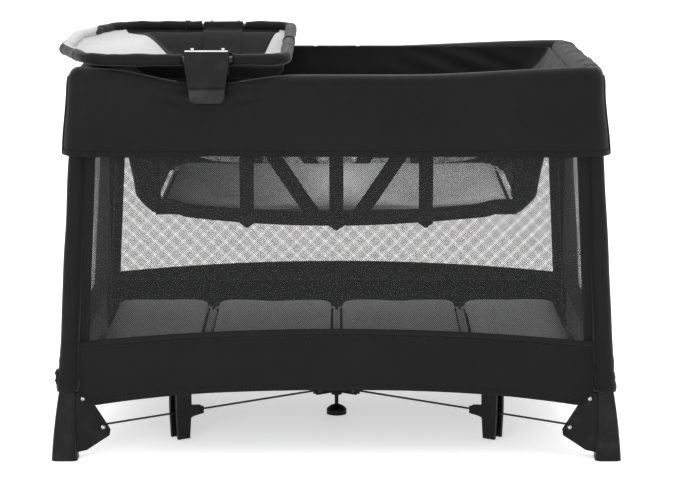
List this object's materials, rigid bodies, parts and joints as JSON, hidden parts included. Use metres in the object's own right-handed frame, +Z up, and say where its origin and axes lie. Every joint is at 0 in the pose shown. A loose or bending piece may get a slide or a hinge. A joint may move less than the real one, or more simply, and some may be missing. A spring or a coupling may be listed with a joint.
{
  "type": "travel play yard",
  "caption": "Folding travel play yard: splayed legs, mesh walls, padded rails, a hung bassinet, a mattress and a clip-on changing table.",
  "frame": {"origin": "on the floor under the centre foot, in the middle of the four legs", "axes": "+X along the long sides, away from the changing table; front at -Y; +Z up"},
  "size_m": [1.0864, 0.72, 0.781],
  "materials": {
    "black_steel": "satin powder coat",
    "bright_steel": "plain wire",
    "black_plastic": "fine texture",
    "black_fabric": "woven",
    "grey_fabric": "woven, padded",
    "mesh": "open net",
    "webbing": "woven"
  },
  "bodies": {
    "leg_front_left": {"leg_tube_front_left": "black_steel", "corner_foot_front_left": "black_plastic", "corner_cap_front_left": "black_plastic", "cover_front": "black_fabric", "cover_left": "black_fabric", "wall_front": "mesh", "wall_left": "mesh", "band_front": "black_fabric", "band_left": "black_fabric", "floor_panel": "black_fabric", "bassinet_shell": "black_fabric"},
    "leg_front_right": {"leg_tube_front_right": "black_steel", "corner_foot_front_right": "black_plastic", "corner_cap_front_right": "black_plastic", "cover_right": "black_fabric", "wall_right": "mesh", "band_right": "black_fabric"},
    "leg_back_left": {"leg_tube_back_left": "black_steel", "corner_foot_back_left": "black_plastic", "corner_cap_back_left": "black_plastic", "cover_back": "black_fabric", "wall_back": "mesh", "band_back": "black_fabric"},
    "leg_back_right": {"leg_tube_back_right": "black_steel", "corner_foot_back_right": "black_plastic", "corner_cap_back_right": "black_plastic"},
    "hub": {"hub_body": "black_plastic", "hub_foot": "black_plastic", "hub_strap": "webbing"},
    "strut_front_left": {"strut_front_left": "black_steel"},
    "rod_front_left": {"rod_front_left": "black_steel"},
    "mid_leg_front_left": {"mid_leg_front_left": "black_plastic"},
    "long_rail_front_left": {"long_rail_front_left": "black_steel"},
    "short_rail_front_left": {"short_rail_front_left": "black_steel"},
    "strut_front_right": {"strut_front_right": "black_steel"},
    "rod_front_right": {"rod_front_right": "black_steel"},
    "mid_leg_front_right": {"mid_leg_front_right": "black_plastic"},
    "long_rail_front_right": {"long_rail_front_right": "black_steel"},
    "short_rail_front_right": {"short_rail_front_right": "black_steel"},
    "strut_back_left": {"strut_back_left": "black_steel"},
    "rod_back_left": {"rod_back_left": "black_steel"},
    "mid_leg_back_left": {"mid_leg_back_left": "black_plastic"},
    "long_rail_back_left": {"long_rail_back_left": "black_steel"},
    "short_rail_back_left": {"short_rail_back_left": "black_steel"},
    "strut_back_right": {"strut_back_right": "black_steel"},
    "rod_back_right": {"rod_back_right": "black_steel"},
    "mid_leg_back_right": {"mid_leg_back_right": "black_plastic"},
    "long_rail_back_right": {"long_rail_back_right": "black_steel"},
    "short_rail_back_right": {"short_rail_back_right": "black_steel"},
    "hinge_front": {"hinge_front": "black_plastic"},
    "hinge_back": {"hinge_back": "black_plastic"},
    "hinge_left": {"hinge_left": "black_plastic"},
    "hinge_right": {"hinge_right": "black_plastic"},
    "mattress": {"mattress": "grey_fabric"},
    "bassinet_pad": {"bassinet_pad": "grey_fabric"},
    "changer_clips": {"changer_clips": "black_plastic"},
    "changer_left": {"changer_tube_left": "black_steel", "changer_sling_left": "grey_fabric"},
    "changer_right": {"changer_tube_right": "black_steel", "changer_sling_right": "grey_fabric"}
  },
  "joints": [
    {"name": "frame_fold", "type": "hinge", "parent": "leg_front_left", "child": "strut_front_left", "pos_m": [-0.49176, -0.32, 0.117], "axis": [0.5454, -0.8382, 0], "range_deg": [0, 77], "deforming": ["cover_front", "cover_back", "wall_front", "wall_back", "band_front", "band_back", "floor_panel", "mattress", "bassinet_shell", "bassinet_pad", "cover_left", "cover_right", "wall_left", "wall_right", "band_left", "band_right"]},
    {"name": "hub_pivot_front_left", "type": "hinge", "parent": "strut_front_left", "child": "hub", "pos_m": [-0.07376, -0.048, 0.117], "axis": [0.5454, -0.8382, 0], "range_deg": [-77, 0]},
    {"name": "strut_pivot_front_right", "type": "hinge", "parent": "hub", "child": "strut_front_right", "pos_m": [0.07376, -0.048, 0.117], "axis": [0.5454, 0.8382, 0], "range_deg": [0, 77]},
    {"name": "leg_pivot_front_right", "type": "hinge", "parent": "strut_front_right", "child": "leg_front_right", "pos_m": [0.49176, -0.32, 0.117], "axis": [0.5454, 0.8382, 0], "range_deg": [-77, 0]},
    {"name": "strut_pivot_back_left", "type": "hinge", "parent": "hub", "child": "strut_back_left", "pos_m": [-0.07376, 0.048, 0.117], "axis": [-0.5454, -0.8382, 0], "range_deg": [0, 77]},
    {"name": "leg_pivot_back_left", "type": "hinge", "parent": "strut_back_left", "child": "leg_back_left", "pos_m": [-0.49176, 0.32, 0.117], "axis": [-0.5454, -0.8382, 0], "range_deg": [-77, 0]},
    {"name": "strut_pivot_back_right", "type": "hinge", "parent": "hub", "child": "strut_back_right", "pos_m": [0.07376, 0.048, 0.117], "axis": [-0.5454, 0.8382, 0], "range_deg": [0, 77]},
    {"name": "leg_pivot_back_right", "type": "hinge", "parent": "strut_back_right", "child": "leg_back_right", "pos_m": [0.49176, 0.32, 0.117], "axis": [-0.5454, 0.8382, 0], "range_deg": [-77, 0]},
    {"name": "rod_pivot_front_left", "type": "hinge", "parent": "hub", "child": "rod_front_left", "pos_m": [-0.03856, -0.02509, 0.055], "axis": [0.5454, -0.8382, 0], "range_deg": [0, 77]},
    {"name": "rod_pivot_front_right", "type": "hinge", "parent": "hub", "child": "rod_front_right", "pos_m": [0.03856, -0.02509, 0.055], "axis": [0.5454, 0.8382, 0], "range_deg": [0, 77]},
    {"name": "rod_pivot_back_left", "type": "hinge", "parent": "hub", "child": "rod_back_left", "pos_m": [-0.03856, 0.02509, 0.055], "axis": [-0.5454, -0.8382, 0], "range_deg": [0, 77]},
    {"name": "rod_pivot_back_right", "type": "hinge", "parent": "hub", "child": "rod_back_right", "pos_m": [0.03856, 0.02509, 0.055], "axis": [-0.5454, 0.8382, 0], "range_deg": [0, 77]},
    {"name": "mid_leg_pivot_front_left", "type": "hinge", "parent": "strut_front_left", "child": "mid_leg_front_left", "pos_m": [-0.30784, -0.20032, 0.117], "axis": [0.5454, -0.8382, 0], "range_deg": [-77, 0]},
    {"name": "mid_leg_pivot_front_right", "type": "hinge", "parent": "strut_front_right", "child": "mid_leg_front_right", "pos_m": [0.30784, -0.20032, 0.117], "axis": [0.5454, 0.8382, 0], "range_deg": [-77, 0]},
    {"name": "mid_leg_pivot_back_left", "type": "hinge", "parent": "strut_back_left", "child": "mid_leg_back_left", "pos_m": [-0.30784, 0.20032, 0.117], "axis": [-0.5454, -0.8382, 0], "range_deg": [-77, 0]},
    {"name": "mid_leg_pivot_back_right", "type": "hinge", "parent": "strut_back_right", "child": "mid_leg_back_right", "pos_m": [0.30784, 0.20032, 0.117], "axis": [-0.5454, 0.8382, 0], "range_deg": [-77, 0]},
    {"name": "long_rail_pivot_front_left", "type": "hinge", "parent": "leg_front_left", "child": "long_rail_front_left", "pos_m": [-0.45, -0.32, 0.712], "axis": [0, 1, 0], "range_deg": [0, 77]},
    {"name": "short_rail_pivot_front_left", "type": "hinge", "parent": "leg_front_left", "child": "short_rail_front_left", "pos_m": [-0.478, -0.292, 0.712], "axis": [-1, 0, 0], "range_deg": [0, 77]},
    {"name": "long_rail_pivot_front_right", "type": "hinge", "parent": "leg_front_right", "child": "long_rail_front_right", "pos_m": [0.45, -0.32, 0.712], "axis": [0, -1, 0], "range_deg": [0, 77]},
    {"name": "short_rail_pivot_front_right", "type": "hinge", "parent": "leg_front_right", "child": "short_rail_front_right", "pos_m": [0.478, -0.292, 0.712], "axis": [-1, 0, 0], "range_deg": [0, 77]},
    {"name": "long_rail_pivot_back_left", "type": "hinge", "parent": "leg_back_left", "child": "long_rail_back_left", "pos_m": [-0.45, 0.32, 0.712], "axis": [0, 1, 0], "range_deg": [0, 77]},
    {"name": "short_rail_pivot_back_left", "type": "hinge", "parent": "leg_back_left", "child": "short_rail_back_left", "pos_m": [-0.478, 0.292, 0.712], "axis": [1, 0, 0], "range_deg": [0, 77]},
    {"name": "long_rail_pivot_back_right", "type": "hinge", "parent": "leg_back_right", "child": "long_rail_back_right", "pos_m": [0.45, 0.32, 0.712], "axis": [0, -1, 0], "range_deg": [0, 77]},
    {"name": "short_rail_pivot_back_right", "type": "hinge", "parent": "leg_back_right", "child": "short_rail_back_right", "pos_m": [0.478, 0.292, 0.712], "axis": [1, 0, 0], "range_deg": [0, 77]},
    {"name": "hinge_pivot_front", "type": "hinge", "parent": "long_rail_front_left", "child": "hinge_front", "pos_m": [-0.032, -0.32, 0.712], "axis": [0, 1, 0], "range_deg": [-77, 0]},
    {"name": "hinge_pivot_back", "type": "hinge", "parent": "long_rail_back_left", "child": "hinge_back", "pos_m": [-0.032, 0.32, 0.712], "axis": [0, 1, 0], "range_deg": [-77, 0]},
    {"name": "hinge_pivot_left", "type": "hinge", "parent": "short_rail_front_left", "child": "hinge_left", "pos_m": [-0.478, -0.02, 0.712], "axis": [-1, 0, 0], "range_deg": [-77, 0]},
    {"name": "hinge_pivot_right", "type": "hinge", "parent": "short_rail_front_right", "child": "hinge_right", "pos_m": [0.478, -0.02, 0.712], "axis": [-1, 0, 0], "range_deg": [-77, 0]},
    {"name": "changer_lift", "type": "slide", "parent": "leg_front_left", "child": "changer_clips", "axis": [0, 0, 1], "range_m": [0, 0.15]},
    {"name": "changer_left_fold", "type": "hinge", "parent": "changer_clips", "child": "changer_left", "pos_m": [-0.268, 0, 0.763], "axis": [0, 1, 0], "range_deg": [0, 85]},
    {"name": "changer_right_fold", "type": "hinge", "parent": "changer_clips", "child": "changer_right", "pos_m": [-0.211, 0, 0.763], "axis": [0, -1, 0], "range_deg": [0, 85]},
    {"name": "mattress_lift", "type": "slide", "parent": "leg_front_left", "child": "mattress", "axis": [0, 0, 1], "range_m": [0, 0.15]},
    {"name": "bassinet_pad_lift", "type": "slide", "parent": "leg_front_left", "child": "bassinet_pad", "axis": [0, 0, 1], "range_m": [0, 0.15]}
  ],
  "couplings": [
    {"joint": "hub_pivot_front_left", "follows": "frame_fold", "ratio": -1},
    {"joint": "strut_pivot_front_right", "follows": "frame_fold", "ratio": 1},
    {"joint": "leg_pivot_front_right", "follows": "frame_fold", "ratio": -1},
    {"joint": "strut_pivot_back_left", "follows": "frame_fold", "ratio": 1},
    {"joint": "leg_pivot_back_left", "follows": "frame_fold", "ratio": -1},
    {"joint": "strut_pivot_back_right", "follows": "frame_fold", "ratio": 1},
    {"joint": "leg_pivot_back_right", "follows": "frame_fold", "ratio": -1},
    {"joint": "rod_pivot_front_left", "follows": "frame_fold", "ratio": 1},
    {"joint": "rod_pivot_front_right", "follows": "frame_fold", "ratio": 1},
    {"joint": "rod_pivot_back_left", "follows": "frame_fold", "ratio": 1},
    {"joint": "rod_pivot_back_right", "follows": "frame_fold", "ratio": 1},
    {"joint": "mid_leg_pivot_front_left", "follows": "frame_fold", "ratio": -1},
    {"joint": "mid_leg_pivot_front_right", "follows": "frame_fold", "ratio": -1},
    {"joint": "mid_leg_pivot_back_left", "follows": "frame_fold", "ratio": -1},
    {"joint": "mid_leg_pivot_back_right", "follows": "frame_fold", "ratio": -1},
    {"joint": "long_rail_pivot_front_left", "follows": "frame_fold", "ratio": 1},
    {"joint": "short_rail_pivot_front_left", "follows": "frame_fold", "ratio": 1},
    {"joint": "long_rail_pivot_front_right", "follows": "frame_fold", "ratio": 1},
    {"joint": "short_rail_pivot_front_right", "follows": "frame_fold", "ratio": 1},
    {"joint": "long_rail_pivot_back_left", "follows": "frame_fold", "ratio": 1},
    {"joint": "short_rail_pivot_back_left", "follows": "frame_fold", "ratio": 1},
    {"joint": "long_rail_pivot_back_right", "follows": "frame_fold", "ratio": 1},
    {"joint": "short_rail_pivot_back_right", "follows": "frame_fold", "ratio": 1},
    {"joint": "hinge_pivot_front", "follows": "frame_fold", "ratio": -1},
    {"joint": "hinge_pivot_back", "follows": "frame_fold", "ratio": -1},
    {"joint": "hinge_pivot_left", "follows": "frame_fold", "ratio": -1},
    {"joint": "hinge_pivot_right", "follows": "frame_fold", "ratio": -1}
  ]
}
